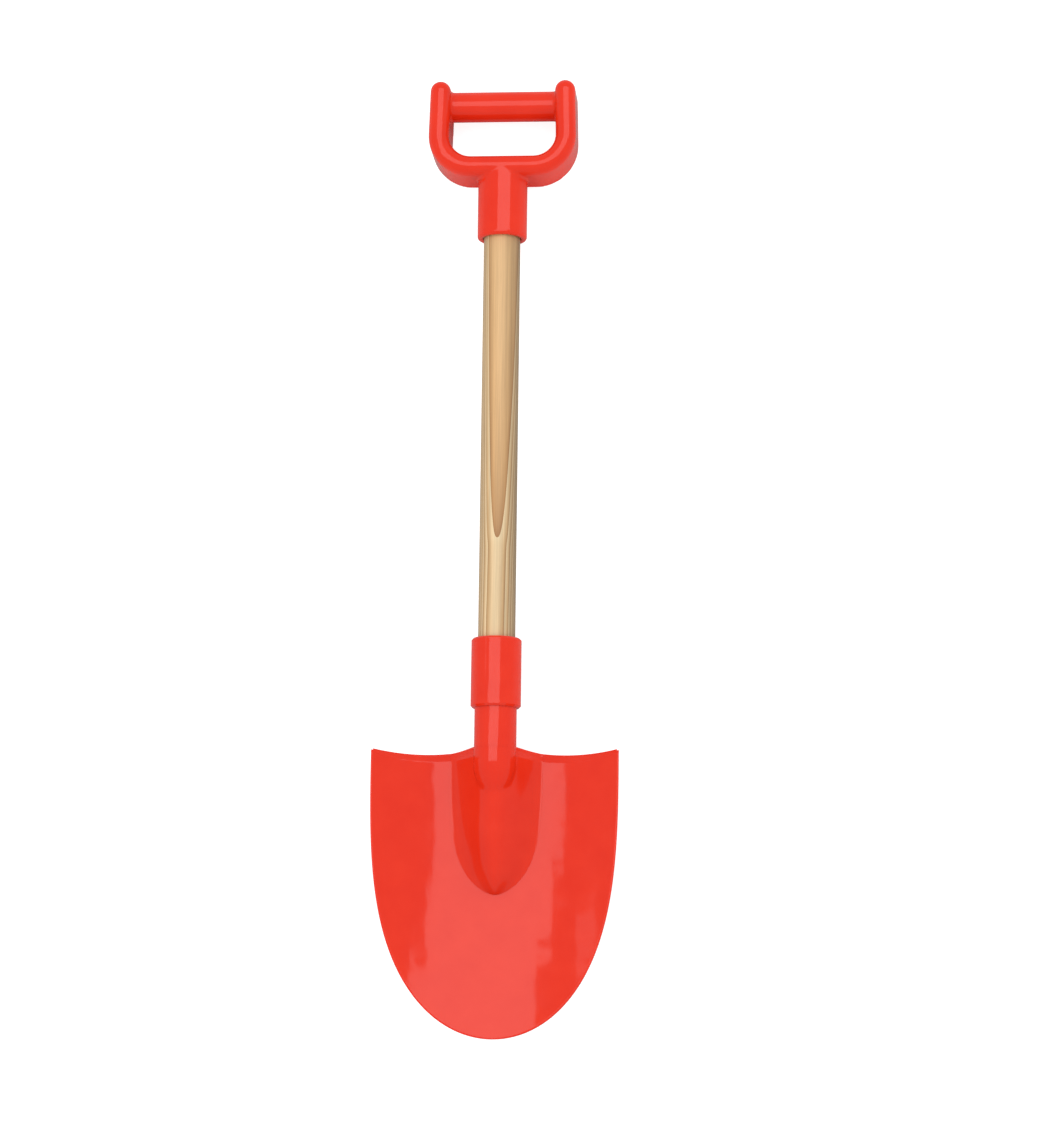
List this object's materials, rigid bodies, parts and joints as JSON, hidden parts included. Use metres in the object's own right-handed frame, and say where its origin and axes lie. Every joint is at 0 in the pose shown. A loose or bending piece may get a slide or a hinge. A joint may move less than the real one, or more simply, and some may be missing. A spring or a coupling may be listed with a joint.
{
  "type": "child's digging shovel",
  "caption": "Child's digging shovel: a dished plastic blade and a plastic D-handle on a round wooden shaft.",
  "frame": {"origin": "under the middle of the shovel's box, on the surface that it lies on, with its front facing up", "axes": "+X across the shovel, +Y along the shaft from the blade's tip towards the handle, +Z out of the front"},
  "size_m": [0.152, 0.6, 0.032],
  "materials": {
    "red_plastic": "moulded gloss",
    "pine": "clear satin varnish",
    "zinc_steel": "bright zinc"
  },
  "bodies": {
    "root": {"d_handle": "red_plastic", "shaft": "pine", "blade": "red_plastic", "handle_screw": "zinc_steel", "collar_screw": "zinc_steel"}
  },
  "joints": []
}
